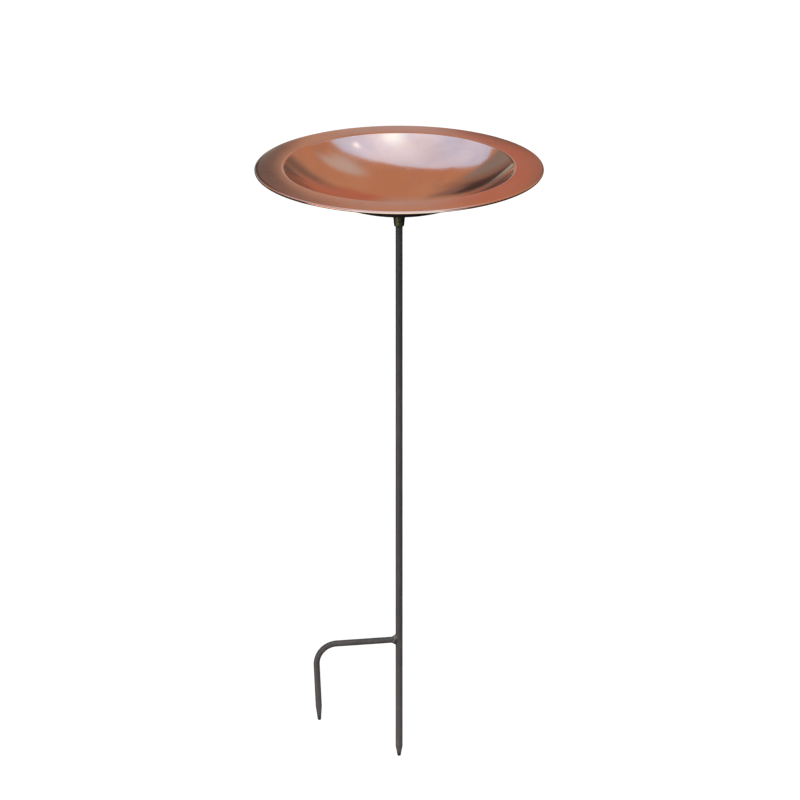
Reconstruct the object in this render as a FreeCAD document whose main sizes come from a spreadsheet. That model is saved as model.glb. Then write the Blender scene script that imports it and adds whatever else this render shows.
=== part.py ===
import FreeCAD, Part
import math
import os

import Sketcher

# Copper bird bath on a steel garden stake. Millimetres, +Z up. The origin is on
# the pole's axis at the ground line, where the step comes to rest when it is
# trodden in: everything below it is in the soil. The step points to -X.

doc = FreeCAD.newDocument("bird_bath_stake")

# ---------------------------------------------------------------- the dimensions
DIMENSIONS = [
    # bowl: spun from sheet, with a well, a soft crest, a flange and a rolled edge
    ("bowl_radius", 177.8),
    ("sheet_thickness", 1.0),
    ("crest_height", 622.0),
    ("crest_radius", 145.0),
    ("well_depth", 53.8),
    ("shoulder_radius", 6.0),
    ("flange_arc_radius", 260.0),
    ("curl_radius", 1.9),
    # socket fitting: turned from bar, threaded inside, brazed under the bowl
    ("fitting_length", 21.4),
    ("fitting_top_radius", 8.2),
    ("fitting_foot_radius", 6.3),
    ("fitting_foot_round", 1.4),
    ("socket_radius", 3.98),
    ("socket_depth", 18.2),
    ("socket_mouth_chamfer", 0.5),
    # fillet of braze metal in the corner between the bowl and the fitting
    ("braze_leg", 2.2),
    ("braze_waist", 0.73),
    ("braze_gap", 0.3),
    # stake: one round bar, threaded on top and pointed below, with its coating
    ("coated_radius", 4.35),
    ("bar_radius", 4.12),
    ("stud_radius", 3.9),
    ("stud_length", 16.9),
    ("stud_chamfer", 0.9),
    ("seat_gap", 0.3),
    ("depth_in_ground", 140.0),
    ("point_length", 13.0),
    ("point_end_radius", 2.1),
    ("point_end_round", 1.6),
    # step prong: a thinner bar bent down into a second spike
    ("prong_radius", 3.85),
    ("step_height", 11.4),
    ("step_reach", 102.9),
    ("step_droop_degrees", 4.1),
    ("leg_lean_degrees", 2.7),
    ("bend_radius", 26.5),
    ("leg_length", 97.4),
    ("prong_point_length", 18.0),
    ("prong_end_radius", 1.95),
    ("prong_end_round", 1.3),
    # weld that holds the prong on the pole
    ("weld_half_height", 8.0),
    ("bead_half_height", 7.7),
    ("weld_along_step", 5.6),
    ("weld_half_width", 5.1),
    ("weld_skin_foot_radius", 4.35),
    ("weld_skin_top_radius", 4.25),
]

sheet = doc.addObject("Spreadsheet::Sheet", "dimensions")
for row, (alias, value) in enumerate(DIMENSIONS, start=1):
    sheet.set(f"A{row}", alias.replace("_", " "))
    sheet.set(f"B{row}", str(value))
    sheet.setAlias(f"B{row}", alias)
doc.recompute()

CURVE_CENTRE = 3
ARC_START, ARC_END = 1, 2
SKETCH_ORIGIN = (-1, 1)
VERTICAL_AXIS = -2
SKETCH_CENTRE, SKETCH_NORMAL = FreeCAD.Vector(0, 0, 0), FreeCAD.Vector(0, 0, 1)
QUARTER = math.pi / 2
EDGE_TOLERANCE = 0.02


def size(alias):
    """A driving dimension, for a first guess or for a shape made in code."""
    return float(sheet.get(alias))


def new_body(label):
    body = doc.addObject("PartDesign::Body", label)
    body.Label = label
    return body


def new_sketch(body, name, plane="XZ_Plane"):
    """An empty sketch on one of the body's own origin planes."""
    sketch = body.newObject("Sketcher::SketchObject", name)
    planes = [f for f in body.Origin.OriginFeatures if f.Role == plane]
    sketch.AttachmentSupport = [(planes[0], "")]
    sketch.MapMode = "FlatFace"
    return sketch


def bind(sketch, kind, elements, expression, guess):
    """Add a dimension to the sketch and drive it from the sheet."""
    index = sketch.addConstraint(Sketcher.Constraint(kind, *elements, guess))
    sketch.setExpression(f"Constraints[{index}]", expression)


def spun(body, sketch, name):
    """Turn the closed profile a full turn about the body's own Z axis."""
    turned = body.newObject("PartDesign::Revolution", name)
    turned.Profile = sketch
    turned.ReferenceAxis = (sketch, ["V_Axis"])
    turned.Angle = 360.0
    body.Tip = turned
    doc.recompute()
    return turned


def closed_outline(sketch, corners):
    """Straight-sided profile whose corners are pairs of expressions (x, z)."""
    numbers = [tuple(sketch.evalExpression(e) for e in corner) for corner in corners]
    numbers = [tuple(float(getattr(v, "Value", v)) for v in pair) for pair in numbers]
    count = len(corners)
    for i in range(count):
        ends = (numbers[i], numbers[(i + 1) % count])
        a, b = (FreeCAD.Vector(x, z, 0) for x, z in ends)
        sketch.addGeometry(Part.LineSegment(a, b))
    for i in range(count):
        following = (i + 1) % count
        sketch.addConstraint(
            Sketcher.Constraint("Coincident", i, ARC_END, following, ARC_START)
        )
    for i, (corner, number) in enumerate(zip(corners, numbers)):
        across, up = corner
        if number[0] == 0:
            sketch.addConstraint(
                Sketcher.Constraint("PointOnObject", i, ARC_START, VERTICAL_AXIS)
            )
        else:
            bind(sketch, "DistanceX", (*SKETCH_ORIGIN, i, ARC_START), across, number[0])
        bind(sketch, "DistanceY", (*SKETCH_ORIGIN, i, ARC_START), up, number[1])
    return sketch


def ring_edge(shape, radius, height):
    """Name of the round edge of this radius whose centre is at this height."""
    for number, edge in enumerate(shape.Edges, start=1):
        curve = edge.Curve
        if isinstance(curve, Part.Circle) and abs(curve.Radius - radius) < EDGE_TOLERANCE:
            if abs(curve.Center.z - height) < EDGE_TOLERANCE:
                return f"Edge{number}"
    raise RuntimeError(f"no round edge of radius {radius} at height {height}")


def dress(body, kind, name, edge, dimension, alias):
    """Fillet or chamfer one edge of the body, sized from the sheet."""
    solid_so_far = body.Tip
    feature = body.newObject(f"PartDesign::{kind}", name)
    feature.Base = (solid_so_far, [edge])
    setattr(feature, dimension, size(alias))
    feature.setExpression(dimension, f"dimensions.{alias}")
    body.Tip = feature
    doc.recompute()
    return feature


# -------------------------------------------------------------------- the bowl
def make_bowl():
    """Sheet of even thickness: eight arcs about four shared centres.

    From the axis outwards the upper side is the hollow of the well, the crest's
    shoulder, the slightly domed flange and the edge rolled under. The lower side
    has the same centres, one sheet thickness away.
    """
    body = new_body("bowl")
    sketch = new_sketch(body, "bowl_profile")
    crest, depth, shoulder = size("crest_radius"), size("well_depth"), size("shoulder_radius")
    flange, curl, thick = size("flange_arc_radius"), size("curl_radius"), size("sheet_thickness")
    well = (crest**2 + depth**2 - 2 * shoulder * depth) / (2 * depth)
    top = size("crest_height")
    well_angle = math.asin(crest / (well + shoulder))
    droop = math.asin((size("bowl_radius") - curl - crest) / (flange - curl))
    curl_height = top - flange + (flange - curl) * math.cos(droop)
    centres = [
        (0, top - depth + well),
        (crest, top - shoulder),
        (crest, top - flange),
        (size("bowl_radius") - curl, curl_height),
    ]
    spans = [
        (-QUARTER, well_angle - QUARTER),
        (QUARTER, QUARTER + well_angle),
        (QUARTER - droop, QUARTER),
        (-math.pi, QUARTER - droop),
    ]
    radii = [well, shoulder, flange, curl]
    grows = [thick, -thick, -thick, -thick]
    for offset in (0, 1):
        for centre, span, radius, grow in zip(centres, spans, radii, grows):
            circle = Part.Circle()
            circle.Center = FreeCAD.Vector(*centre, 0)
            circle.Radius = radius + offset * grow
            sketch.addGeometry(Part.ArcOfCircle(circle, *span))
    well_top, shoulder_top, flange_top, curl_top = range(4)
    well_under, shoulder_under, flange_under, curl_under = range(4, 8)
    for upper, lower in ((well_top, well_under), (shoulder_top, shoulder_under),
                         (flange_top, flange_under), (curl_top, curl_under)):
        sketch.addConstraint(
            Sketcher.Constraint("Coincident", lower, CURVE_CENTRE, upper, CURVE_CENTRE)
        )
    for a, b, c, d in ((well_top, shoulder_top, flange_top, curl_top),
                       (well_under, shoulder_under, flange_under, curl_under)):
        for first, first_end, second, second_end in (
            (a, ARC_END, b, ARC_END), (b, ARC_START, c, ARC_END), (c, ARC_START, d, ARC_END)
        ):
            sketch.addConstraint(
                Sketcher.Constraint("Tangent", first, first_end, second, second_end)
            )
    axis_line = sketch.addGeometry(
        Part.LineSegment(sketch.getPoint(well_under, ARC_START), sketch.getPoint(well_top, ARC_START))
    )
    curl_line = sketch.addGeometry(
        Part.LineSegment(sketch.getPoint(curl_under, ARC_START), sketch.getPoint(curl_top, ARC_START))
    )
    for line, lower, upper in ((axis_line, well_under, well_top), (curl_line, curl_under, curl_top)):
        sketch.addConstraint(Sketcher.Constraint("Coincident", line, ARC_START, lower, ARC_START))
        sketch.addConstraint(Sketcher.Constraint("Coincident", line, ARC_END, upper, ARC_START))
    for arc, point in ((well_top, CURVE_CENTRE), (well_top, ARC_START), (well_under, ARC_START)):
        sketch.addConstraint(Sketcher.Constraint("PointOnObject", arc, point, VERTICAL_AXIS))
    sketch.addConstraint(Sketcher.Constraint("Horizontal", curl_line))
    sketch.addConstraint(
        Sketcher.Constraint("Horizontal", curl_top, ARC_START, curl_top, CURVE_CENTRE)
    )
    sketch.addConstraint(
        Sketcher.Constraint("Vertical", shoulder_top, CURVE_CENTRE, flange_top, CURVE_CENTRE)
    )
    bind(sketch, "Radius", (shoulder_top,), "dimensions.shoulder_radius", shoulder)
    bind(sketch, "Radius", (flange_top,), "dimensions.flange_arc_radius", flange)
    bind(sketch, "Radius", (curl_top,), "dimensions.curl_radius", curl)
    bind(sketch, "DistanceY", (axis_line, ARC_START, axis_line, ARC_END),
         "dimensions.sheet_thickness", thick)
    bind(sketch, "DistanceY", (*SKETCH_ORIGIN, well_top, ARC_START),
         "dimensions.crest_height - dimensions.well_depth", top - depth)
    bind(sketch, "DistanceX", (*SKETCH_ORIGIN, shoulder_top, CURVE_CENTRE),
         "dimensions.crest_radius", crest)
    bind(sketch, "DistanceY", (*SKETCH_ORIGIN, shoulder_top, CURVE_CENTRE),
         "dimensions.crest_height - dimensions.shoulder_radius", top - shoulder)
    bind(sketch, "DistanceX", (*SKETCH_ORIGIN, curl_top, CURVE_CENTRE),
         "dimensions.bowl_radius - dimensions.curl_radius", size("bowl_radius") - curl)
    doc.recompute()
    if sketch.solve() != 0:
        raise RuntimeError("the bowl's profile doesn't solve")
    spun(body, sketch, "bowl_spinning")
    return body


# -------------------------------------------------------- fitting and braze metal
UNDERSIDE = "(dimensions.crest_height - dimensions.well_depth - dimensions.sheet_thickness)"
FITTING_FOOT = f"({UNDERSIDE} - dimensions.fitting_length)"


def make_fitting():
    """Tapered boss with a blind threaded hole, drawn plain at the thread's crests."""
    body = new_body("socket_fitting")
    socket_end = f"({FITTING_FOOT} + dimensions.socket_depth)"
    sketch = closed_outline(new_sketch(body, "fitting_profile"), [
        ("0", UNDERSIDE),
        ("dimensions.fitting_top_radius", UNDERSIDE),
        ("dimensions.fitting_foot_radius", FITTING_FOOT),
        ("dimensions.socket_radius", FITTING_FOOT),
        ("dimensions.socket_radius", socket_end),
        ("0", socket_end),
    ])
    spun(body, sketch, "fitting_turning")
    foot = size("crest_height") - size("well_depth") - size("sheet_thickness") - size("fitting_length")
    rim = ring_edge(body.Shape, size("fitting_foot_radius"), foot)
    dress(body, "Fillet", "fitting_foot_rounding", rim, "Radius", "fitting_foot_round")
    mouth = ring_edge(body.Shape, size("socket_radius"), foot)
    dress(body, "Chamfer", "socket_mouth", mouth, "Size", "socket_mouth_chamfer")
    return body


def make_braze():
    """Hollow-faced ring in the angle between the bowl's underside and the fitting."""
    body = new_body("braze_fillet")
    near = "(dimensions.fitting_top_radius + dimensions.braze_gap)"
    under = f"({UNDERSIDE} - dimensions.braze_gap)"
    sketch = closed_outline(new_sketch(body, "braze_profile"), [
        (near, under),
        (f"{near} + dimensions.braze_leg", under),
        (f"{near} + dimensions.braze_waist", f"{under} - dimensions.braze_waist"),
        (near, f"{under} - dimensions.braze_leg"),
    ])
    spun(body, sketch, "braze_ring")
    return body


# -------------------------------------------------------------------- the stake
SHOULDER = f"({FITTING_FOOT} - dimensions.seat_gap)"
TIP = "(-dimensions.depth_in_ground)"


def make_pole():
    """Round bar from the threaded stud down to the point.

    The bar is bare where the weld sits on it, and coated everywhere else.
    """
    body = new_body("stake_pole")
    stud_end = f"({SHOULDER} + dimensions.stud_length)"
    weld_top = "(dimensions.step_height + dimensions.weld_half_height)"
    weld_foot = "(dimensions.step_height - dimensions.weld_half_height)"
    point_top = f"({TIP} + dimensions.point_length)"
    sketch = closed_outline(new_sketch(body, "pole_profile"), [
        ("0", stud_end),
        ("dimensions.stud_radius - dimensions.stud_chamfer", stud_end),
        ("dimensions.stud_radius", f"{stud_end} - dimensions.stud_chamfer"),
        ("dimensions.stud_radius", SHOULDER),
        ("dimensions.coated_radius", SHOULDER),
        ("dimensions.coated_radius", weld_top),
        ("dimensions.bar_radius", weld_top),
        ("dimensions.bar_radius", weld_foot),
        ("dimensions.coated_radius", weld_foot),
        ("dimensions.coated_radius", point_top),
        ("dimensions.point_end_radius", TIP),
        ("0", TIP),
    ])
    spun(body, sketch, "pole_bar")
    tip = ring_edge(body.Shape, size("point_end_radius"), -size("depth_in_ground"))
    dress(body, "Fillet", "point_rounding", tip, "Radius", "point_end_round")
    return body


def make_prong():
    """Bar bent through about a right angle, then drawn down to a point.

    It is drawn with the step level along -X and its butt end at the origin. The
    placement then tilts it by the step's droop and sets it against the pole.
    """
    body = new_body("step_prong")
    path = new_sketch(body, "prong_path")
    turn = math.radians(90 - size("step_droop_degrees") + size("leg_lean_degrees"))
    droop = math.radians(size("step_droop_degrees"))
    bend, leg = size("bend_radius"), size("leg_length")
    butt = size("bar_radius") + size("prong_radius") * math.sin(droop)
    reach = (size("step_reach") - butt) / math.cos(droop)
    trim = bend * math.tan(turn / 2)
    straight = leg - trim - size("prong_point_length")
    bend_start = FreeCAD.Vector(trim - reach, 0, 0)
    centre = bend_start + FreeCAD.Vector(0, -bend, 0)
    side = FreeCAD.Vector(-math.sin(turn), math.cos(turn), 0)
    heading = FreeCAD.Vector(-math.cos(turn), -math.sin(turn), 0)
    bend_end = centre + side * bend
    path.addGeometry(Part.LineSegment(SKETCH_CENTRE, bend_start))
    circle = Part.Circle(centre, SKETCH_NORMAL, bend)
    path.addGeometry(Part.ArcOfCircle(circle, QUARTER, QUARTER + turn))
    path.addGeometry(Part.LineSegment(bend_end, bend_end + heading * straight))
    step, arc, lower = range(3)
    path.addConstraint(Sketcher.Constraint("Coincident", step, ARC_START, *SKETCH_ORIGIN))
    path.addConstraint(Sketcher.Constraint("Tangent", step, ARC_END, arc, ARC_START))
    path.addConstraint(Sketcher.Constraint("Tangent", arc, ARC_END, lower, ARC_START))
    path.addConstraint(Sketcher.Constraint("Horizontal", step))
    turn_expression = "(90 - dimensions.step_droop_degrees + dimensions.leg_lean_degrees)"
    droop_expression = "(dimensions.step_droop_degrees * 1 deg)"
    butt_expression = (
        f"(dimensions.bar_radius + dimensions.prong_radius * sin{droop_expression})"
    )
    reach_expression = f"(dimensions.step_reach - {butt_expression}) / cos{droop_expression}"
    trim_expression = f"dimensions.bend_radius * tan({turn_expression} * 0.5 deg)"
    bind(path, "Radius", (arc,), "dimensions.bend_radius", bend)
    bind(path, "Distance", (step,), f"{reach_expression} - {trim_expression}", reach - trim)
    bind(path, "Distance", (lower,),
         f"dimensions.leg_length - {trim_expression} - dimensions.prong_point_length", straight)
    bind(path, "Angle", (arc,), f"{turn_expression} * 1 deg", turn)
    doc.recompute()
    if path.solve() != 0:
        raise RuntimeError("the prong's path doesn't solve")

    section = new_sketch(body, "prong_section", "YZ_Plane")
    section.addGeometry(Part.Circle(SKETCH_CENTRE, SKETCH_NORMAL, size("prong_radius")))
    section.addConstraint(Sketcher.Constraint("Coincident", 0, CURVE_CENTRE, *SKETCH_ORIGIN))
    bind(section, "Radius", (0,), "dimensions.prong_radius", size("prong_radius"))
    doc.recompute()
    bar = body.newObject("PartDesign::AdditivePipe", "prong_bar")
    bar.Profile = section
    bar.Spine = (path, ["Edge1", "Edge2", "Edge3"])
    body.Tip = bar
    doc.recompute()

    end_faces = [
        f"Face{number}" for number, face in enumerate(body.Shape.Faces, start=1)
        if isinstance(face.Surface, Part.Plane) and face.CenterOfMass.z < -bend
    ]
    rounds = []
    for name, alias, away in (
        ("point_root", "prong_radius", "0"),
        ("point_end", "prong_end_radius", "dimensions.prong_point_length"),
    ):
        ring = body.newObject("Sketcher::SketchObject", name)
        ring.AttachmentSupport = [(bar, end_faces[0])]
        ring.MapMode = "FlatFace"
        ring.setExpression("AttachmentOffset.Base.z", away)
        doc.recompute()
        end_centre = body.Shape.getElement(end_faces[0]).CenterOfMass
        middle = ring.getGlobalPlacement().inverse().multVec(end_centre)
        middle.z = 0
        ring.addGeometry(Part.Circle(middle, SKETCH_NORMAL, size(alias)))
        bind(ring, "Radius", (0,), f"dimensions.{alias}", size(alias))
        rounds.append(ring)
    point = body.newObject("PartDesign::AdditiveLoft", "prong_point")
    point.Profile = rounds[0]
    point.Sections = [rounds[1]]
    body.Tip = point
    doc.recompute()
    tips = [
        f"Edge{number}" for number, edge in enumerate(body.Shape.Edges, start=1)
        if isinstance(edge.Curve, Part.Circle)
        and abs(edge.Curve.Radius - size("prong_end_radius")) < EDGE_TOLERANCE
    ]
    dress(body, "Fillet", "prong_end_rounding", tips[0], "Radius", "prong_end_round")
    body.setExpression("Placement.Base.x", f"-{butt_expression}")
    body.setExpression(
        "Placement.Base.z", f"dimensions.step_height - {butt_expression} * tan{droop_expression}"
    )
    body.setExpression("Placement.Rotation.Axis.x", "0")
    body.setExpression("Placement.Rotation.Axis.y", "-1")
    body.setExpression("Placement.Rotation.Axis.z", "0")
    body.setExpression("Placement.Rotation.Angle", "dimensions.step_droop_degrees")
    doc.recompute()
    return body


def make_weld(pole, prong):
    """Bead mounded in the corner between the prong and the pole.

    The bead is an ellipsoid, joined to the thin skin that closes over the bar at
    that height, less the bar and the prong.
    """
    bead = doc.addObject("Part::Ellipsoid", "weld_bead")
    bead.setExpression("Radius1", "dimensions.bead_half_height")
    bead.setExpression("Radius2", "dimensions.weld_along_step")
    bead.setExpression("Radius3", "dimensions.weld_half_width")
    bead.setExpression("Placement.Base.x", "-dimensions.bar_radius")
    bead.setExpression("Placement.Base.z", "dimensions.step_height")
    skin = doc.addObject("Part::Cone", "weld_skin")
    skin.setExpression("Radius1", "dimensions.weld_skin_foot_radius")
    skin.setExpression("Radius2", "dimensions.weld_skin_top_radius")
    skin.setExpression("Height", "2 * dimensions.weld_half_height")
    skin.setExpression("Placement.Base.z", "dimensions.step_height - dimensions.weld_half_height")
    metal = doc.addObject("Part::Fuse", "weld_metal")
    metal.Base, metal.Tool = bead, skin
    round_bar = doc.addObject("Part::Cut", "weld_round_bar")
    round_bar.Base, round_bar.Tool = metal, pole
    weld = doc.addObject("Part::Cut", "step_weld")
    weld.Base, weld.Tool = round_bar, prong
    weld.Label = "step_weld"
    doc.recompute()
    return weld


bowl = make_bowl()
fitting = make_fitting()
braze = make_braze()
stake_pole = make_pole()
step_prong = make_prong()
step_weld = make_weld(stake_pole, step_prong)
sub_parts = [bowl, fitting, braze, stake_pole, step_prong, step_weld]

doc.recompute()
for item in doc.Objects:
    if "Invalid" in item.State or "Error" in item.State:
        raise RuntimeError(f"{item.Name} failed: {item.State}")
for part in sub_parts:
    if part.Shape.isNull() or not part.Shape.isValid() or len(part.Shape.Solids) != 1:
        raise RuntimeError(f"{part.Label} isn't one valid solid")

os.makedirs("parts", exist_ok=True)
for part in sub_parts:
    part.Shape.exportStep(f"parts/{part.Label}.step")
    box = part.Shape.optimalBoundingBox()
    print(
        f"{part.Label}: {part.Shape.Volume / 1000:.3f} cm3, "
        f"x {box.XMin:.2f} to {box.XMax:.2f}, z {box.ZMin:.2f} to {box.ZMax:.2f}"
    )
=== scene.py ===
import math

import bpy
import numpy as np
from bpy.props import FloatProperty, FloatVectorProperty, IntProperty, PointerProperty
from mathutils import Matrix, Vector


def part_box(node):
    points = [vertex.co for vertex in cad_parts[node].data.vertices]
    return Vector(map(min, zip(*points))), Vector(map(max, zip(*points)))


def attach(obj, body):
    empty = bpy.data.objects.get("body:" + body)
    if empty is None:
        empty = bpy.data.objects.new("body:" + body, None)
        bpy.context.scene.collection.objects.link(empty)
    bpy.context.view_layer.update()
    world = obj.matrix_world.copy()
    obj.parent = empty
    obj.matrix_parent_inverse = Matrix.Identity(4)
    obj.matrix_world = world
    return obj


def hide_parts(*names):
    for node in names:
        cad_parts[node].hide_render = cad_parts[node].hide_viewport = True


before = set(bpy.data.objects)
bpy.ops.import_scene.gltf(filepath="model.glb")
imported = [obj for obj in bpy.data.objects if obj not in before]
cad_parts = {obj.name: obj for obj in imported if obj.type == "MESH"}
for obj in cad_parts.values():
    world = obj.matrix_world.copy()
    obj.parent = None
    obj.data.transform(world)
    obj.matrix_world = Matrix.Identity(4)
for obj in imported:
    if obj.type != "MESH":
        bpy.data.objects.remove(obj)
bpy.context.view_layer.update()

bl_info = {
    "name": "Copper bird bath on a stake",
    "version": (1, 0, 0),
    "blender": (4, 5, 0),
    "location": "3D View > Sidebar > Bird Bath",
    "description": "Makes the spun copper bowl, its fitting, the coated stake and a plain studio",
    "category": "Add Mesh",
}

BOWL_LOW, BOWL_HIGH = (np.array(corner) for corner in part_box("bowl"))
FITTING_LOW, FITTING_HIGH = (np.array(corner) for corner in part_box("socket_fitting"))
BRAZE_LOW, BRAZE_HIGH = (np.array(corner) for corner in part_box("braze_fillet"))
POLE_LOW, POLE_HIGH = (np.array(corner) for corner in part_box("stake_pole"))
PRONG_LOW, PRONG_HIGH = (np.array(corner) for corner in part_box("step_prong"))
WELD_LOW, WELD_HIGH = (np.array(corner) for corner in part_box("step_weld"))
CREST_HEIGHT = float(BOWL_HIGH[2])
STEP_HEIGHT = float(WELD_LOW[2] + WELD_HIGH[2]) / 2
FULL_TURN = 2 * math.pi
QUARTER = math.pi / 2
MM = 0.001


# ------------------------------------------------------------------ properties
def length(label, words, default):
    """A size in metres."""
    return FloatProperty(
        name=label, description=words, default=default, min=0.0, unit="LENGTH", precision=5
    )


def angle(label, words, degrees):
    """A turn, given here in degrees."""
    return FloatProperty(
        name=label, description=words, default=math.radians(degrees), subtype="ANGLE"
    )


def colour(label, words, rgb):
    """A linear colour."""
    return FloatVectorProperty(
        name=label, description=words, default=rgb, min=0.0, max=1.0, subtype="COLOR"
    )


def amount(label, words, default):
    """A share from 0 to 1."""
    return FloatProperty(
        name=label, description=words, default=default, min=0.0, max=1.0, subtype="FACTOR"
    )


def count(label, words, default):
    """A number of steps."""
    return IntProperty(name=label, description=words, default=default, min=3)


class BirdBathBowl(bpy.types.PropertyGroup):
    """Sizes and finish of the spun copper bowl."""

    outer_radius: length("Radius", "From the axis to the rolled edge", float(BOWL_HIGH[0]))
    crest_radius: length("Crest radius", "Where the flange meets the well", 145.0 * MM)
    shoulder_radius: length("Shoulder", "Radius of the bend over the crest", 6.0 * MM)
    flange_arc: length("Flange arc", "Radius of the flange's slight dome", 260.0 * MM)
    curl_radius: length("Curl", "Outer radius of the rolled edge", 1.9 * MM)
    sheet: length("Sheet", "Thickness of the copper", 1.0 * MM)
    wobble: length("Wobble", "How far the spun wall strays from true", 0.22 * MM)
    steps: count("Steps", "Steps round the axis", 256)
    bright: colour("Bright copper", "Where the copper is freshly polished", (0.88, 0.46, 0.31))
    orange: colour("Orange copper", "The usual tone of the copper", (0.86, 0.40, 0.25))
    mauve: colour("Mauve tarnish", "Where the copper has begun to tarnish", (0.66, 0.36, 0.27))
    # Underside colour near black: real oxide, darkened further as painted shade under the bowl.
    oxide_and_shade: colour("Oxide", "The unpolished underside", (0.026, 0.015, 0.008))
    flange_roughness: amount("Flange roughness", "Satin of the flange", 0.22)
    well_roughness: amount("Well roughness", "Polish of the well", 0.115)


class BirdBathFitting(bpy.types.PropertyGroup):
    """Sizes and finish of the socket fitting and the braze metal."""

    top_radius: length("Top radius", "Where it meets the bowl", float(FITTING_HIGH[0]))
    foot_radius: length("Foot radius", "At the mouth of the socket", 6.3 * MM)
    foot_round: length("Foot round", "Radius of the rounded foot", 1.4 * MM)
    socket_radius: length("Socket", "Radius at the roots of the thread", 3.98 * MM)
    socket_depth: length("Socket depth", "Depth of the threaded hole", 18.2 * MM)
    # The fitting's brass colour is darkened to olive brown as painted shade under the bowl.
    metal: colour("Metal", "Aged brass", (0.120, 0.108, 0.052))
    braze: colour("Braze metal", "Braze metal, dulled by its flux", (0.16, 0.10, 0.05))


class BirdBathStake(bpy.types.PropertyGroup):
    """Sizes and finish of the pole, the step prong and the weld."""

    pole_radius: length("Pole", "Radius over the coating", float(POLE_HIGH[0]))
    stud_radius: length("Stud", "Radius at the crests of the thread", 3.9 * MM)
    stud_length: length("Stud length", "Length of the threaded end", 16.9 * MM)
    pitch: length("Pitch", "Rise of the thread in one turn", 25.4 / 18 * MM)
    thread_depth: length("Thread depth", "From the crests to the roots", 0.62 * MM)
    point_length: length("Point", "Length of the pole's point", 13.0 * MM)
    point_end: length("Point end", "Radius at the end of the point", 2.1 * MM)
    prong_radius: length("Prong", "Radius of the prong's bar", float(PRONG_HIGH[1]))
    prong_point: length("Prong point", "Length of the prong's point", 18.0 * MM)
    prong_end: length("Prong end", "Radius at the end of the prong", 1.95 * MM)
    reach: length("Reach", "From the pole's axis to the corner of the step", 102.9 * MM)
    bend: length("Bend", "Radius of the bend", 26.5 * MM)
    droop: angle("Droop", "How far the step falls away from the pole", 4.1)
    lean: angle("Lean", "How far the leg leans back to the pole", 2.7)
    coat: colour("Coating", "Powder coat", (0.039, 0.0355, 0.0355))
    bare: colour("Bare steel", "Where the coating has worn off", (0.42, 0.40, 0.38))
    coat_roughness: amount("Roughness", "Gloss of the powder coat", 0.36)


class BirdBathStage(bpy.types.PropertyGroup):
    """Camera, floor and lights."""

    elevation: angle("Elevation", "Height of the camera above the horizon", 17.8)
    distance: length("Distance", "From the camera to the object", 40.0)
    field: length("Field", "Width of the view at the object", 0.9845)
    aim_height: length("Aim", "Height that the camera looks at", 0.3213)
    aim_side: length("Aim side", "How far right of the axis it looks", 0.0011)
    floor_colour: colour("Floor", "Pale floor", (0.93, 0.93, 0.93))


# ---------------------------------------------------------------- mesh building
def grid_faces(rows, columns, wrap_rows=False):
    """Quads of a grid whose columns close on themselves, as whole arrays.

    Vertex (i, j) has index i * columns + j. Face (i, j) joins rows i and i + 1 and
    columns j and j + 1.
    """
    i = np.arange(rows if wrap_rows else rows - 1)[:, None]
    j = np.arange(columns)[None, :]
    next_i, next_j = (i + 1) % rows, (j + 1) % columns
    row, next_row = i * columns, next_i * columns
    corners = (row + j, row + next_j, next_row + next_j, next_row + j)
    return np.stack(np.broadcast_arrays(*corners), axis=-1).reshape(-1, 4)


def fan_faces(pole, ring, outward):
    """Triangles from one point to a closed ring of vertices."""
    following = np.roll(ring, -1)
    sides = (following, ring) if outward else (ring, following)
    return np.stack([np.full(len(ring), pole), *sides], axis=-1)


def add_mesh(name, vertices, quads, triangles=()):
    """A smooth-shaded object at the origin, from whole arrays."""
    mesh = bpy.data.meshes.new(name)
    faces = quads.tolist() + [face for group in triangles for face in group.tolist()]
    mesh.from_pydata(vertices.tolist(), [], faces)
    mesh.update()
    mesh.shade_smooth()
    mesh.set_sharp_from_angle(angle=math.radians(50))
    piece = bpy.data.objects.new(name, mesh)
    bpy.context.scene.collection.objects.link(piece)
    return piece


def turned(name, radii, heights, bottom, top):
    """A solid turned about Z, closed by a point on the axis at each end.

    radii and heights are grids (ring, step): the vertex at ring i and turn t is
    (radius cos t, radius sin t, height). Rings run from the bottom point to the
    top point along the outline, with the solid on their left.
    """
    rings, steps = radii.shape
    turn = np.linspace(0, FULL_TURN, steps, endpoint=False)[None, :]
    body = np.stack([radii * np.cos(turn), radii * np.sin(turn), heights], axis=-1)
    ends = np.array([[0, 0, bottom], [0, 0, top]])
    vertices = np.concatenate([body.reshape(-1, 3), ends])
    first, last = np.arange(steps), np.arange(steps) + (rings - 1) * steps
    caps = (
        fan_faces(rings * steps, first, outward=True),
        fan_faces(rings * steps + 1, last, outward=False),
    )
    return add_mesh(name, vertices, grid_faces(rings, steps), caps)


def arc(centre, radius, start, end, points):
    """Points (r, z) on a circular arc, from one angle to another, ends included."""
    turn = np.linspace(start, end, points)
    return np.stack([centre[0] + radius * np.cos(turn), centre[1] + radius * np.sin(turn)], axis=-1)


def line(start, end, points):
    """Points (r, z) on a straight run, ends included."""
    share = np.linspace(0, 1, points)[:, None]
    return np.array(start) * (1 - share) + np.array(end) * share


def outline(*runs):
    """Runs of points joined end to end, each shared end kept once."""
    joined = [runs[0]] + [run[1:] for run in runs[1:]]
    return np.concatenate(joined)


def smooth_step(x, low, high):
    """0 below low, 1 above high, and a cubic blend in between."""
    share = np.clip((x - low) / (high - low), 0, 1)
    return share * share * (3 - 2 * share)


# ------------------------------------------------------------- tones of the pieces
HEATED_OXIDE = (0.022, 0.018, 0.018)
SOIL = (0.105, 0.088, 0.070)
DULL_POINT = (0.020, 0.018, 0.017)
THREAD_ROOT = (0.10, 0.095, 0.09)
THREAD_GRIME = (0.10, 0.07, 0.05)
THIN_COAT = (0.175, 0.135, 0.100)

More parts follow.
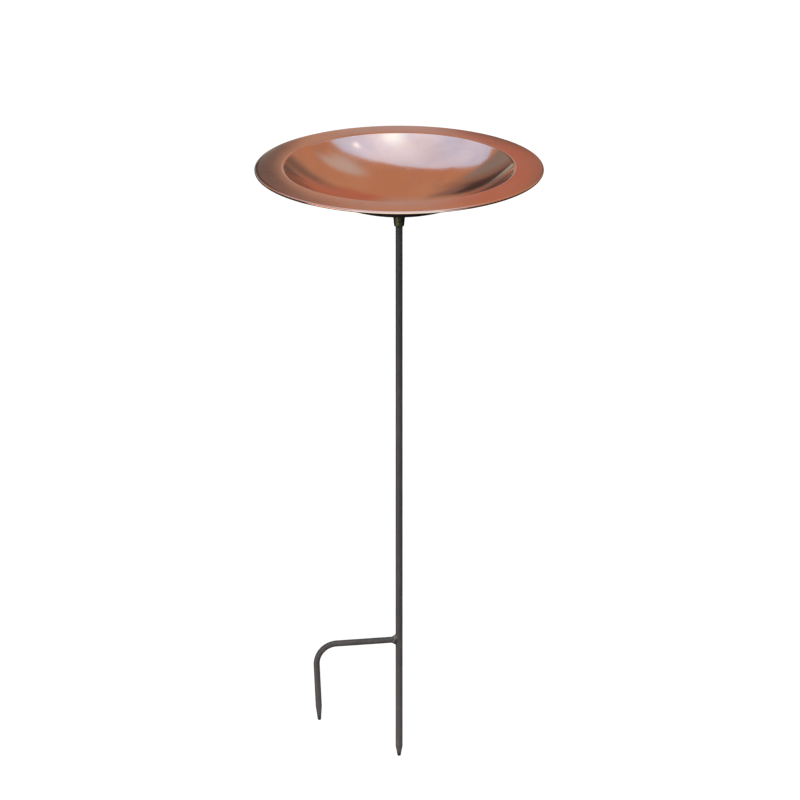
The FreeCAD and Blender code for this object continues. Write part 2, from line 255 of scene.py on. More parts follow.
# ------------------------------------------------------------------ studio shapes
# Distances in metres, linear colours. The light's colours are cool because the copper
# warms them. Wall tones are (x, height over the bowl's crest), half sizes, softness
# each way and colour, laid one over another. The window of light lies in the ceiling,
# with its end coming down the back wall.
FLOOR_HALF = 40.0
FLOOR_MATT = (0.16, 0.16, 0.16, 1.0)
FLOOR_GLOW, FLOOR_GLOW_SEEN = 0.45, 1.02
MATT_FRONT, MATT_BEHIND = (1.95, 1.88, 1.83), (0.10, 0.10, 0.10)
SHINY_BELOW, SHINY_ABOVE = (0.020, 0.017, 0.015), (0.40, 0.31, 0.26)
WALL_AT = 0.9
ROOM_HALF = 1.7
CEILING_RISE = 1.4
ROOM_BROWN = (0.52, 0.385, 0.295)
WALL_TONES = (
    ((0.025, 0.24), (0.105, 0.30), (0.07, 0.16), (0.48, 0.44, 0.44)),
    ((0.16, 0.30), (0.09, 0.30), (0.05, 0.10), (0.48, 0.245, 0.192)),
    ((0.42, 0.22), (0.18, 0.24), (0.06, 0.12), (0.21, 0.175, 0.165)),
    ((0.30, 0.05), (0.21, 0.12), (0.06, 0.04), (0.14, 0.122, 0.115)),
    ((-0.34, 0.32), (0.14, 0.38), (0.07, 0.26), (0.25, 0.215, 0.205)),
    ((-0.225, 0.31), (0.065, 0.20), (0.03, 0.06), (0.065, 0.058, 0.062)),
    ((-0.19, 0.50), (0.07, 0.07), (0.04, 0.05), (0.25, 0.21, 0.225)),
    ((-0.62, 0.42), (0.24, 0.34), (0.06, 0.06), (0.27, 0.35, 0.41)),
    ((-0.27, 0.155), (0.08, 0.035), (0.03, 0.015), (0.44, 0.60, 0.60)),
)
WINDOW_OUTLINE = (
    (1.00, 0.40), (0.66, 0.52), (0.40, 0.50), (0.20, 0.50), (0.04, 0.54), (-0.14, 0.61),
    (-0.33, 0.73), (-0.55, 0.89), (-1.35, 0.89), (-1.35, -1.5), (1.00, -1.5),
)
WINDOW_FOOT_OUTLINE = (
    (-0.58, 1.39), (-0.57, 0.80), (-0.64, 0.79), (-0.90, 0.97), (-1.35, 1.25), (-1.35, 1.39),
)
CEILING_GLIMMER, GLIMMER_AT = (0.55, 0.72, 0.88), (0.62, 0.90)
SKY_DIM, SKY_BRIGHT = (0.62, 1.05, 1.80), (0.73, 1.18, 1.95)
SUN_HALO, SUN, SUN_AT = (0.95, 1.52, 2.36), (1.25, 2.35, 3.30), (0.07, -0.02)
LAMP, LAMP_AT, LAMP_RADIUS = (1.5, 2.4, 3.2), (0.50, 0.27), 0.035
FRONT_GLOW, LIP_GLOW, SIDE_GLOW = (0.86, 1.26, 1.60), (1.08, 1.60, 1.92), (1.0, 0.98, 0.96)


# ------------------------------------------------------------------- shader help
# Inputs of a Mix node that is set to colour.
MIX_FACTOR_A_B = (0, 6, 7)


class Graph:
    """Short calls for building one node tree."""

    def __init__(self, tree):
        self.tree = tree
        tree.nodes.clear()

    def node(self, kind, inputs=None, **settings):
        """Add a node. A value in inputs is either a socket to link or a constant."""
        made = self.tree.nodes.new(kind)
        for key, value in settings.items():
            setattr(made, key, value)
        for key, value in (inputs or {}).items():
            if isinstance(value, bpy.types.NodeSocket):
                self.tree.links.new(value, made.inputs[key])
            else:
                made.inputs[key].default_value = value
        return made

    def maths(self, operation, *values):
        made = self.node("ShaderNodeMath", dict(enumerate(values)), operation=operation)
        return made.outputs[0]

    def vector(self, operation, *values):
        made = self.node("ShaderNodeVectorMath", dict(enumerate(values)), operation=operation)
        return made.outputs["Value" if operation == "LENGTH" else "Vector"]

    def noise(self, vector, scale, detail=2.0, roughness=0.5, distortion=0.0):
        made = self.node("ShaderNodeTexNoise", {
            "Vector": vector, "Scale": scale, "Detail": detail,
            "Roughness": roughness, "Distortion": distortion,
        })
        return made.outputs["Fac"]

    def lines(self, position, detail=2.0):
        """Noise along one number: a fine stripe for each unit of it."""
        inputs = {"W": position, "Scale": 1.0, "Detail": detail}
        return self.node("ShaderNodeTexNoise", inputs, noise_dimensions="1D").outputs["Fac"]

    def span(self, value, low, high, to_low=0.0, to_high=1.0):
        """Map a value from one range to another, clamped, with soft ends."""
        made = self.node("ShaderNodeMapRange", {
            "Value": value, "From Min": low, "From Max": high, "To Min": to_low, "To Max": to_high,
        }, interpolation_type="SMOOTHSTEP")
        return made.outputs["Result"]

    def mix(self, share, first, second):
        """Blend of two colours, each a socket or a constant."""
        made = self.node("ShaderNodeMix", data_type="RGBA")
        for index, value in zip(MIX_FACTOR_A_B, (share, first, second)):
            socket = made.inputs[index]
            if isinstance(value, bpy.types.NodeSocket):
                self.tree.links.new(value, socket)
            elif socket.type == "RGBA":
                socket.default_value = (*value, 1.0)
            else:
                socket.default_value = value
        return made.outputs[2]

    def bump(self, height, strength, distance, before=None):
        inputs = {"Height": height, "Strength": strength, "Distance": distance}
        if before is not None:
            inputs["Normal"] = before
        return self.node("ShaderNodeBump", inputs).outputs["Normal"]


def new_material(name):
    """An empty material and its graph, with object coordinates and their parts."""
    material = bpy.data.materials.new(name)
    material.use_nodes = True
    graph = Graph(material.node_tree)
    place = graph.node("ShaderNodeTexCoord").outputs["Object"]
    return material, graph, place


def finish_material(graph, inputs):
    """Principled surface to the material's output."""
    shader = graph.node("ShaderNodeBsdfPrincipled", inputs)
    graph.node("ShaderNodeOutputMaterial", {"Surface": shader.outputs["BSDF"]})


def radius_of(graph, place):
    """Distance from the pole's axis."""
    return graph.vector("LENGTH", graph.vector("MULTIPLY", place, (1.0, 1.0, 0.0)))


def height_of(graph, place):
    return graph.node("ShaderNodeSeparateXYZ", {"Vector": place}).outputs["Z"]


# --------------------------------------------------------------------- materials
def copper_material(bowl):
    """Polished copper, satin on the flange, with spinning marks and faint tarnish."""
    material, g, place = new_material("polished_copper")
    radius = radius_of(g, place)
    flange = g.span(radius, bowl.crest_radius - 2 * MM, bowl.crest_radius + 3 * MM)
    rolled = g.span(radius, bowl.outer_radius - 5 * MM, bowl.outer_radius - 3 * MM)
    clouds = g.noise(place, 7.0, 4.0, 0.55, 0.6)
    streaks = g.noise(g.vector("ADD", place, (0.3, 0.1, 0.7)), 16.0, 3.0, 0.6, 1.2)
    tone = g.mix(g.span(clouds, 0.36, 0.66), tuple(bowl.orange), tuple(bowl.bright))
    tarnish = g.maths("MULTIPLY", g.span(streaks, 0.50, 0.74), 0.42)
    tone = g.mix(tarnish, tone, tuple(bowl.mauve))
    tone = g.mix(g.maths("MULTIPLY", rolled, 0.6), tone, tuple(bowl.bright))

    coarse = g.lines(g.maths("MULTIPLY", radius, 1 / (2.6 * MM)), 1.0)
    fine = g.lines(g.maths("MULTIPLY", radius, 1 / (0.45 * MM)), 3.0)
    spinning = g.maths("ADD", g.maths("MULTIPLY", coarse, 0.75), g.maths("MULTIPLY", fine, 0.25))
    tone = g.mix(g.span(fine, 0.35, 0.75, 0.0, 0.10), tone, tuple(bowl.mauve))

    roughness = g.span(flange, 0.0, 1.0, bowl.well_roughness, bowl.flange_roughness)
    uneven = g.span(clouds, 0.3, 0.7, -0.025, 0.03)
    scratches = g.span(fine, 0.3, 0.8, -0.02, 0.03)
    roughness = g.maths("ADD", roughness, g.maths("ADD", uneven, scratches))
    spots = g.node("ShaderNodeTexVoronoi", {"Vector": place, "Scale": 46.0, "Randomness": 1.0})
    spot = g.span(spots.outputs["Distance"], 0.10, 0.16, 1.0, 0.0)
    spot = g.maths("MULTIPLY", spot, g.span(streaks, 0.56, 0.66))
    roughness = g.maths("ADD", roughness, g.maths("MULTIPLY", spot, 0.10))
    roughness = g.maths("SUBTRACT", roughness, g.maths("MULTIPLY", rolled, 0.10))
    tone = g.mix(g.maths("MULTIPLY", spot, 0.25), tone, tuple(bowl.mauve))

    normal = g.bump(spinning, g.span(flange, 0.0, 1.0, 0.14, 0.07), 0.05 * MM)
    dents = g.noise(place, 34.0, 1.0, 0.4)
    normal = g.bump(dents, 0.10, 0.6 * MM, normal)
    finish_material(g, {
        "Base Color": tone, "Metallic": 1.0, "Roughness": roughness, "Normal": normal,
    })
    return material


def oxide_and_shade_material(bowl):
    """Unpolished underside: brown oxide painted near black as shade under the bowl, darker and dull
    where the brazing heated it.
    """
    material, g, place = new_material("oxide_and_painted_shade")
    radius = radius_of(g, place)
    clouds = g.noise(place, 26.0, 5.0, 0.6, 0.8)
    heated = g.span(radius, 18 * MM, 60 * MM, 1.0, 0.0)
    copper = tuple(0.14 * channel for channel in bowl.mauve)
    # The oxide tone carries painted shade: near black where the underside lies in shade.
    tone = g.mix(g.span(clouds, 0.38, 0.72, 0.0, 0.55), tuple(bowl.oxide_and_shade), copper)
    tone = g.mix(g.maths("MULTIPLY", heated, 0.8), tone, HEATED_OXIDE)
    rim = g.span(radius, bowl.outer_radius - 6 * MM, bowl.outer_radius - 3 * MM)
    tone = g.mix(g.maths("MULTIPLY", rim, 0.5), tone, copper)
    rings = g.lines(g.maths("MULTIPLY", radius, 1 / (0.9 * MM)), 3.0)
    roughness = g.span(clouds, 0.3, 0.7, 0.42, 0.58)
    normal = g.bump(rings, 0.25, 0.08 * MM)
    normal = g.bump(clouds, 0.2, 0.15 * MM, normal)
    finish_material(g, {
        "Base Color": tone, "Metallic": 0.85, "Roughness": roughness, "Normal": normal,
        "Specular IOR Level": 0.3,
    })
    return material


def fitting_material(name, metal, shine):
    """Turned brass in the olive brown colour that is passed in, with turning marks and wear."""
    material, g, place = new_material(name)
    height = height_of(g, place)
    rings = g.lines(g.maths("MULTIPLY", height, 1 / (0.35 * MM)), 3.0)
    stains = g.noise(place, 190.0, 4.0, 0.6, 0.5)
    dark = tuple(0.38 * channel for channel in metal)
    worn = tuple(min(1.0, 2.1 * channel) for channel in metal)
    tone = g.mix(g.span(stains, 0.35, 0.7), dark, tuple(metal))
    tone = g.mix(g.span(rings, 0.62, 0.85, 0.0, 0.35), tone, worn)
    roughness = g.span(stains, 0.3, 0.7, shine, shine + 0.18)
    normal = g.bump(rings, 0.35, 0.04 * MM)
    normal = g.bump(stains, 0.2, 0.1 * MM, normal)
    finish_material(g, {
        "Base Color": tone, "Metallic": 0.9, "Roughness": roughness, "Normal": normal,
    })
    return material


def coat_material(name, stake, worn_below):
    """Powder coat with its fine orange peel, scuffed near the ground, worn at the points, and lighter
    lower down as painted light.
    """
    material, g, place = new_material(name)
    height = height_of(g, place)
    peel = g.noise(place, 1500.0, 2.0, 0.5)
    waves = g.noise(place, 240.0, 2.0, 0.5)
    dust = g.noise(g.vector("MULTIPLY", place, (1.0, 1.0, 0.35)), 160.0, 5.0, 0.65)
    scuffs = g.noise(g.vector("MULTIPLY", place, (1.0, 1.0, 0.10)), 620.0, 3.0, 0.7, 0.8)
    light = tuple(min(1.0, 1.9 * channel) for channel in stake.coat)
    tone = g.mix(g.span(dust, 0.35, 0.75, 0.0, 0.55), tuple(stake.coat), light)
    # Painted light: the coat is made lighter below 440 mm and lighter again near the ground, standing
    # in for light thrown up from the floor.
    painted_light_along = g.span(height, 300 * MM, 440 * MM, 0.33, 0.0)
    painted_light = g.maths("ADD", painted_light_along, g.span(height, -90 * MM, 40 * MM, 0.45, 0.0))
    tone = g.mix(painted_light, tone, tuple(min(1.0, 2.4 * channel) for channel in stake.coat))
    low = g.span(height, 0.0, STEP_HEIGHT + 60 * MM, 1.0, 0.0)
    soil = g.maths("MULTIPLY", low, g.span(dust, 0.45, 0.7, 0.0, 0.5))
    tone = g.mix(soil, tone, SOIL)
    near_point = g.span(height, worn_below, worn_below + 26 * MM, 1.0, 0.0)
    chips = g.maths("MULTIPLY", near_point, g.span(scuffs, 0.58, 0.66))
    scratched = g.maths("MULTIPLY", low, g.span(scuffs, 0.70, 0.74, 0.0, 0.35))
    bare = g.maths("MAXIMUM", chips, scratched)
    tone = g.mix(bare, tone, tuple(stake.bare))
    end = g.span(height, worn_below + 2 * MM, worn_below + 8 * MM, 0.75, 0.0)
    tone = g.mix(end, tone, DULL_POINT)
    roughness = g.maths("ADD", stake.coat_roughness, g.span(dust, 0.3, 0.7, -0.05, 0.10))
    normal = g.bump(peel, 0.22, 0.05 * MM)
    normal = g.bump(waves, 0.15, 0.12 * MM, normal)
    normal = g.bump(bare, -0.5, 0.06 * MM, normal)
    finish_material(g, {
        "Base Color": tone, "Metallic": g.maths("MULTIPLY", bare, 0.9),
        "Roughness": roughness, "Normal": normal, "Specular IOR Level": 0.20,
    })
    return material


def thread_material(stake):
    """Bare cut thread: bright crests, darker towards the roots."""
    material, g, place = new_material("cut_thread")
    radius = radius_of(g, place)
    crest = g.span(radius, stake.stud_radius - stake.thread_depth, stake.stud_radius)
    grime = g.noise(place, 420.0, 4.0, 0.6)
    tone = g.mix(crest, THREAD_ROOT, tuple(stake.bare))
    tone = g.mix(g.span(grime, 0.5, 0.75, 0.0, 0.5), tone, THREAD_GRIME)
    normal = g.bump(grime, 0.2, 0.03 * MM)
    finish_material(g, {
        "Base Color": tone, "Metallic": 1.0,
        "Roughness": g.span(grime, 0.3, 0.7, 0.28, 0.5), "Normal": normal,
    })
    return material


def weld_material(stake):
    """Coated weld: ripples filled by the coating, brownish where it is thin."""
    material, g, place = new_material("coated_weld")
    grain = g.noise(place, 520.0, 4.0, 0.6, 0.4)
    patches = g.noise(place, 130.0, 3.0, 0.6)
    tone = g.mix(g.span(patches, 0.42, 0.66, 0.0, 0.8), tuple(stake.coat), THIN_COAT)
    tone = g.mix(g.span(grain, 0.68, 0.78, 0.0, 0.4), tone, tuple(stake.bare))
    normal = g.bump(grain, 0.35, 0.12 * MM)
    finish_material(g, {
        "Base Color": tone, "Metallic": 0.15,
        "Roughness": g.span(patches, 0.3, 0.7, 0.45, 0.62), "Normal": normal,
    })
    return material


# ---------------------------------------------------------------------- operators
class PieceOperator(bpy.types.Operator):
    """Common ground of the operators that each make one piece."""

    bl_options = {"REGISTER", "UNDO"}


class BIRDBATH_OT_bowl(PieceOperator):
    """Spin the copper bowl: well, crest, flange and rolled edge"""

    bl_idname = "bird_bath.bowl"
    bl_label = "Copper Bowl"

    def execute(self, context):
        """The outline is arcs about four centres, once along the top and back below.

        Top and underside share the centres, one sheet thickness apart. The wall then
        strays from true by a sum of low waves round the axis, the same on both sides.
        """
        bowl = context.scene.bird_bath_bowl
        crest, shoulder = bowl.crest_radius, bowl.shoulder_radius
        flange, curl, sheet = bowl.flange_arc, bowl.curl_radius, bowl.sheet
        depth = CREST_HEIGHT - float(BOWL_LOW[2]) - sheet
        well = (crest**2 + depth**2 - 2 * shoulder * depth) / (2 * depth)
        rise = math.asin(crest / (well + shoulder))
        edge = bowl.outer_radius - curl
        fall = math.asin((edge - crest) / (flange - curl))
        well_centre = (0.0, CREST_HEIGHT - depth + well)
        shoulder_centre = (crest, CREST_HEIGHT - shoulder)
        flange_centre = (crest, CREST_HEIGHT - flange)
        curl_centre = (edge, CREST_HEIGHT - flange + (flange - curl) * math.cos(fall))
        start = 0.6 * MM / well
        curl_points = 18
        under = outline(
            arc(well_centre, well + sheet, start - QUARTER, rise - QUARTER, 76),
            arc(shoulder_centre, shoulder - sheet, QUARTER + rise, QUARTER, 12),
            arc(flange_centre, flange - sheet, QUARTER, QUARTER - fall, 20),
            arc(curl_centre, curl - sheet, QUARTER - fall, -math.pi, curl_points),
        )
        upper = outline(
            arc(curl_centre, curl, -math.pi, QUARTER - fall, 26),
            arc(flange_centre, flange, QUARTER - fall, QUARTER, 30),
            arc(shoulder_centre, shoulder, QUARTER, QUARTER + rise, 20),
            arc(well_centre, well, rise - QUARTER, start - QUARTER, 110),
        )
        profile = np.concatenate([under, upper])
        turn = np.linspace(0, FULL_TURN, bowl.steps, endpoint=False)[None, :]
        radii = np.repeat(profile[:, :1], bowl.steps, axis=1)
        outwards = radii / bowl.outer_radius
        waves = (
            0.50 * np.sin(2 * turn + 0.7 + 2.2 * outwards)
            + 0.28 * np.sin(3 * turn + 2.1 - 3.1 * outwards)
            + 0.22 * np.sin(5 * turn + 4.0 + 5.0 * outwards)
        )
        away_from_axis = smooth_step(outwards, 0.05, 0.5)
        heights = profile[:, 1:] - bowl.wobble * away_from_axis * (1 + waves) / 2
        piece = turned("copper_bowl", radii, heights, float(BOWL_LOW[2]), CREST_HEIGHT - depth)
        piece.data.materials.append(copper_material(bowl))
        piece.data.materials.append(oxide_and_shade_material(bowl))
        underside_rings = len(under) - curl_points
        slots = np.zeros(len(piece.data.polygons), dtype=np.int32)
        slots[: underside_rings * bowl.steps] = 1
        bottom_cap = (len(profile) - 1) * bowl.steps
        slots[bottom_cap: bottom_cap + bowl.steps] = 1
        piece.data.polygons.foreach_set("material_index", slots)
        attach(piece, "basin")
        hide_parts("bowl")
        return {"FINISHED"}


def thread_wave(turn, height, pitch):
    """0 at the roots and 1 at the crests of a right-hand thread, with soft corners.

    A crest climbs one pitch in a turn, so the wave's phase is the height in pitches
    less the share of a turn.
    """
    phase = (height / pitch - turn / FULL_TURN) % 1.0
    ramp = 1 - np.abs(2 * phase - 1)
    return smooth_step(ramp, 0.06, 0.94)


class BIRDBATH_OT_fitting(PieceOperator):
    """Turn the tapered socket fitting, with the thread inside it"""

    bl_idname = "bird_bath.fitting"
    bl_label = "Socket Fitting"

    def execute(self, context):
        """The outline runs up the blind hole's wall, out at the mouth, and up the taper.

        The hole's wall goes in and out with the thread's wave.
        """
        fitting, stake = context.scene.bird_bath_fitting, context.scene.bird_bath_stake
        foot, top = float(FITTING_LOW[2]), float(FITTING_HIGH[2])
        end = foot + fitting.socket_depth
        steps, bevel, edge, rounding = 96, 0.5 * MM, 0.3 * MM, fitting.foot_round
        hole = line((fitting.socket_radius, end), (fitting.socket_radius, foot + bevel), 200)
        slope = math.atan2(fitting.top_radius - fitting.foot_radius, top - foot)
        corner = (fitting.foot_radius - rounding, foot + rounding)
        outside = outline(
            line((fitting.socket_radius, foot + bevel), (fitting.socket_radius + bevel, foot), 3),
            arc(corner, rounding, -QUARTER, -slope, 10),
            line((corner[0] + rounding * math.cos(slope), corner[1] - rounding * math.sin(slope)),
                 (fitting.top_radius, top - edge), 24),
            line((fitting.top_radius, top - edge), (fitting.top_radius - edge, top), 2),
            line((fitting.top_radius - edge, top), (0.4 * MM, top), 6),
        )
        blind = line((0.4 * MM, end), (fitting.socket_radius, end), 6)
        profile = outline(blind, hole, outside)
        turn = np.linspace(0, FULL_TURN, steps, endpoint=False)[None, :]
        radii = np.repeat(profile[:, :1], steps, axis=1)
        heights = np.repeat(profile[:, 1:], steps, axis=1)
        in_hole = np.zeros((len(profile), 1))
        plain_at_end, plain_at_mouth = 4, 6
        in_hole[len(blind) + plain_at_end: len(blind) + len(hole) - plain_at_mouth] = 1
        roots = stake.thread_depth * (1 - thread_wave(turn, heights, stake.pitch))
        radii = radii - roots * in_hole
        piece = turned("socket_fitting_turned", radii, heights, end, top)
        # Brass darkened to olive brown as painted shade under the bowl.
        piece.data.materials.append(fitting_material("shaded_brass", fitting.metal, 0.30))
        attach(piece, "basin")
        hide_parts("socket_fitting")
        return {"FINISHED"}


class BIRDBATH_OT_braze(PieceOperator):
    """Lay the ring of braze metal between the bowl and the fitting"""

    bl_idname = "bird_bath.braze"
    bl_label = "Braze Fillet"

    def execute(self, context):
        """A hollow-faced fillet carried round the fitting, with a slow ripple in its width."""
        fitting = context.scene.bird_bath_fitting
        inner, top = fitting.top_radius - 0.25 * MM, float(BRAZE_HIGH[2]) + 0.2 * MM
        width, drop = float(BRAZE_HIGH[0]) - fitting.top_radius, top - float(BRAZE_LOW[2])
        steps, points = 96, 14
        turn = np.linspace(0, FULL_TURN, steps, endpoint=False)[None, :]
        ripple = 1 - 0.10 * (1 + np.sin(7 * turn + 1.3) * np.sin(4 * turn)) / 2
        share = np.linspace(0, QUARTER, points)[:, None]
        face_r = fitting.top_radius + width * ripple * (1 - np.sin(share))
        face_z = top - drop * ripple * (1 - np.cos(share)) * np.ones_like(turn)
        back_r = np.full((1, steps), inner)
        radii = np.concatenate([face_r, back_r, back_r])
        heights = np.concatenate([face_z, face_z[-1:], np.full((1, steps), top)])
        body = np.stack([radii * np.cos(turn), radii * np.sin(turn), heights], axis=-1)
        faces = grid_faces(len(radii), steps, wrap_rows=True)[:, ::-1]
        piece = add_mesh("braze_ring", body.reshape(-1, 3), faces)
        piece.data.materials.append(fitting_material("braze_metal", fitting.braze, 0.38))
        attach(piece, "basin")
        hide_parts("braze_fillet")
        return {"FINISHED"}


class BIRDBATH_OT_pole(PieceOperator):
    """Make the coated pole, from its point to the threaded stud"""

    bl_idname = "bird_bath.pole"
    bl_label = "Stake Pole"

    def execute(self, context):
        """The outline runs up from the point; the stud's wall goes in and out with the thread.

        The coating's thickness strays by a few hundredths of a millimetre.
        """
        stake = context.scene.bird_bath_stake
        tip, top = float(POLE_LOW[2]), float(POLE_HIGH[2])
        shoulder = top - stake.stud_length
        steps, nose, edge, chamfer = 96, 1.6 * MM, 0.3 * MM, 0.9 * MM
        slope = math.atan2(stake.pole_radius - stake.point_end, stake.point_length)
        taper_top = (stake.pole_radius, tip + stake.point_length)
        nose_centre = (stake.point_end - nose, tip + nose)
        point = outline(
            line((0.2 * MM, tip), (nose_centre[0], tip), 3),
            arc(nose_centre, nose, -QUARTER, -slope, 10),
            line((nose_centre[0] + nose * math.cos(slope), nose_centre[1] - nose * math.sin(slope)),
                 taper_top, 16),
        )
        shank_top = (stake.pole_radius, shoulder - edge)
        seat_edge = (stake.pole_radius - 0.25 * MM, shoulder)
        seat_foot = (stake.stud_radius - 0.02 * MM, shoulder)
        stud_foot = (stake.stud_radius, shoulder + 0.02 * MM)
        chamfer_foot = (stake.stud_radius, top - chamfer)
        chamfer_top = (stake.stud_radius - chamfer, top)
        shank = line(taper_top, shank_top, 300)
        seat = outline(line(shank_top, seat_edge, 3), line(seat_edge, seat_foot, 2))
        stud = line(stud_foot, chamfer_foot, 180)
        stud_outline = outline(
            stud, line(chamfer_foot, chamfer_top, 6), line(chamfer_top, (0.3 * MM, top), 5)
        )
        profile = np.concatenate([outline(point, shank, seat), stud_outline])
        stud_start = len(profile) - len(stud_outline)
        turn = np.linspace(0, FULL_TURN, steps, endpoint=False)[None, :]
        radii = np.repeat(profile[:, :1], steps, axis=1)
        heights = np.repeat(profile[:, 1:], steps, axis=1)
        cut = stake.thread_depth * (1 - thread_wave(turn, heights, stake.pitch))
        on_stud = np.zeros((len(profile), 1))
        plain_at_foot, into_chamfer = 6, 4
        on_stud[stud_start + plain_at_foot: stud_start + len(stud) + into_chamfer] = 1
        radii = radii - cut * on_stud
        on_shank = smooth_step(heights, tip + 4 * MM, tip + 9 * MM)
        on_shank = on_shank * (1 - smooth_step(heights, shoulder - 6 * MM, shoulder - 2 * MM))
        stray = 0.5 + 0.5 * np.sin(2 * turn + 55 * heights) * np.sin(71 * heights + 1.0)
        radii = radii - 0.05 * MM * stray * on_shank
        piece = turned("coated_pole", radii, heights, tip, top)
        piece.data.materials.append(coat_material("powder_coat_pole", stake, tip))
        piece.data.materials.append(thread_material(stake))
        slots = np.zeros(len(piece.data.polygons), dtype=np.int32)
        slots[stud_start * steps: (len(profile) - 1) * steps] = 1
        slots[-steps:] = 1
        piece.data.polygons.foreach_set("material_index", slots)
        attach(piece, "stake")
        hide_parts("stake_pole")
        return {"FINISHED"}


class BIRDBATH_OT_prong(PieceOperator):
    """Bend the step prong and draw its end to a point"""

    bl_idname = "bird_bath.prong"
    bl_label = "Step Prong"

    def execute(self, context):
        """A round section carried along a straight, an arc and a straight, in the XZ plane.

        The section is a little flatter in the bend, and the last run narrows to the
        prong's end with a rounded nose.
        """
        stake = context.scene.bird_bath_stake
        turn_angle = QUARTER - stake.droop + stake.lean
        trim = stake.bend * math.tan(turn_angle / 2)
        inset = 1.5 * MM
        step = (stake.reach - inset) / math.cos(stake.droop) - trim
        out = np.array([-math.cos(stake.droop), 0.0, -math.sin(stake.droop)])
        inward = np.array([math.sin(stake.droop), 0.0, -math.cos(stake.droop)])
        start = np.array([0.0, 0.0, STEP_HEIGHT]) + out * inset
        bend_start = start + out * step
        centre = bend_start + inward * stake.bend
        down = out * math.cos(turn_angle) + inward * math.sin(turn_angle)
        side = inward * math.cos(turn_angle) - out * math.sin(turn_angle)
        bend_end = centre - side * stake.bend
        leg = (bend_end[2] - float(PRONG_LOW[2])) / -down[2]

        bend_length = stake.bend * turn_angle
        along = np.concatenate([
            np.linspace(0, step, 44, endpoint=False),
            step + np.linspace(0, bend_length, 40, endpoint=False),
            step + bend_length + np.linspace(0, leg - stake.prong_point, 24, endpoint=False),
            step + bend_length + leg - stake.prong_point
            + stake.prong_point * np.sin(np.linspace(0, QUARTER, 40)),
        ])[:, None]
        turned_by = np.clip((along - step) / stake.bend, 0, turn_angle)
        before = np.clip(along, 0, step)
        after = np.clip(along - step - bend_length, 0, None)
        normal = out * np.sin(turned_by) - inward * np.cos(turned_by)
        past_step = centre + normal * stake.bend + down * after
        path = np.where(along <= step, start + out * before, past_step)
        blend = 0.35
        in_bend = smooth_step(turned_by, 0, blend)
        in_bend = in_bend * (1 - smooth_step(turned_by, turn_angle - blend, turn_angle))

        left = step + bend_length + leg - along
        up_the_point = np.clip(left / stake.prong_point, 0, 1)
        cone = stake.prong_end + (stake.prong_radius - stake.prong_end) * up_the_point
        nose = 1.3 * MM
        cap = np.where(left < nose, np.sqrt(np.clip(nose**2 - (nose - left) ** 2, 0, None)) - nose, 0)
        radius = np.clip(cone + cap, 0.05 * MM, None)
        stray = 0.5 + 0.5 * np.sin(along * 190)
        radius = radius - 0.04 * MM * stray * (left > stake.prong_point)
        steps = 64
        turn = np.linspace(0, FULL_TURN, steps, endpoint=False)[None, :, None]
        in_plane = normal[:, None, :] * ((1 - 0.035 * in_bend) * radius)[:, None, :]
        across = np.array([0.0, 1.0, 0.0]) * ((1 + 0.02 * in_bend) * radius)[:, None, :]
        body = path[:, None, :] + in_plane * np.cos(turn) + across * np.sin(turn)
        ends = np.stack([start, path[-1]])
        vertices = np.concatenate([body.reshape(-1, 3), ends])
        rings = len(along)
        first, last = np.arange(steps), np.arange(steps) + (rings - 1) * steps
        caps = (fan_faces(rings * steps, first, True), fan_faces(rings * steps + 1, last, False))
        piece = add_mesh("bent_prong", vertices, grid_faces(rings, steps), caps)
        piece.data.materials.append(coat_material("powder_coat_prong", stake, float(PRONG_LOW[2])))
        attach(piece, "stake")
        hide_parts("step_prong")
        return {"FINISHED"}


class BIRDBATH_OT_weld(PieceOperator):
    """Lay the weld bead round the foot of the prong"""

    bl_idname = "bird_bath.weld"
    bl_label = "Step Weld"

    def execute(self, context):
        """A fillet carried round the prong, from a toe on the pole to a toe on the bar.

        Each section is a curve of three points: the toe on the pole, which is an oval
        wrapped on the round bar, a point near the corner, and the toe on the prong.
        Ripples one bead apart stand out along the run.
        """
        stake = context.scene.bird_bath_stake
        steps, points = 160, 18
        turn = np.linspace(0, FULL_TURN, steps, endpoint=False)[None, :]
        rise = float(WELD_HIGH[2] - WELD_LOW[2]) / 2 - 0.5 * MM
        pole, bar = stake.pole_radius, stake.prong_radius
        run = abs(float(WELD_LOW[0])) - pole

        def spot(x, y, z):
            return np.stack(np.broadcast_arrays(x, y, z), axis=-1)

        wide = 0.93 * pole * np.sin(turn)
        toe = spot(0.35 * MM - np.sqrt(pole**2 - wide**2), wide, STEP_HEIGHT + rise * np.cos(turn))
        corner = spot(-pole - 0.9 * MM, (bar + 0.5 * MM) * np.sin(turn),
                      STEP_HEIGHT - pole * math.tan(stake.droop) + (bar + 1.5 * MM) * np.cos(turn))
        far = -pole - run
        on_bar = spot(far, (bar - 0.05 * MM) * np.sin(turn),
                      STEP_HEIGHT + far * math.tan(stake.droop) + (bar - 0.05 * MM) * np.cos(turn))
        share = np.linspace(0, 1, points)[:, None, None]
        face = toe * (1 - share) ** 2 + corner * 2 * share * (1 - share) + on_bar * share**2
        middle = np.array([-pole, 0.0, STEP_HEIGHT])
        outward = face - middle
        outward = outward / np.linalg.norm(outward, axis=-1, keepdims=True)
        along_bead = 26 * turn[..., None] + 2.4 * np.sin(math.pi * share)
        ripple = np.abs(np.sin(along_bead / 2)) ** 0.7 * np.sin(math.pi * share) ** 0.6
        face = face + outward * 0.26 * MM * (ripple - 0.3)
        inside_bar = spot(far, 0.5 * bar * np.sin(turn), STEP_HEIGHT + far * math.tan(stake.droop)
                          + 0.5 * bar * np.cos(turn))
        inside_pole = spot(-0.3 * pole, 0.5 * bar * np.sin(turn),
                           STEP_HEIGHT + 0.8 * rise * np.cos(turn))
        rows = np.concatenate([face, inside_bar, inside_pole])
        faces = grid_faces(len(rows), steps, wrap_rows=True)
        piece = add_mesh("weld_bead", rows.reshape(-1, 3), faces)
        piece.data.materials.append(weld_material(stake))
        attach(piece, "stake")
        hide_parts("step_weld")
        return {"FINISHED"}


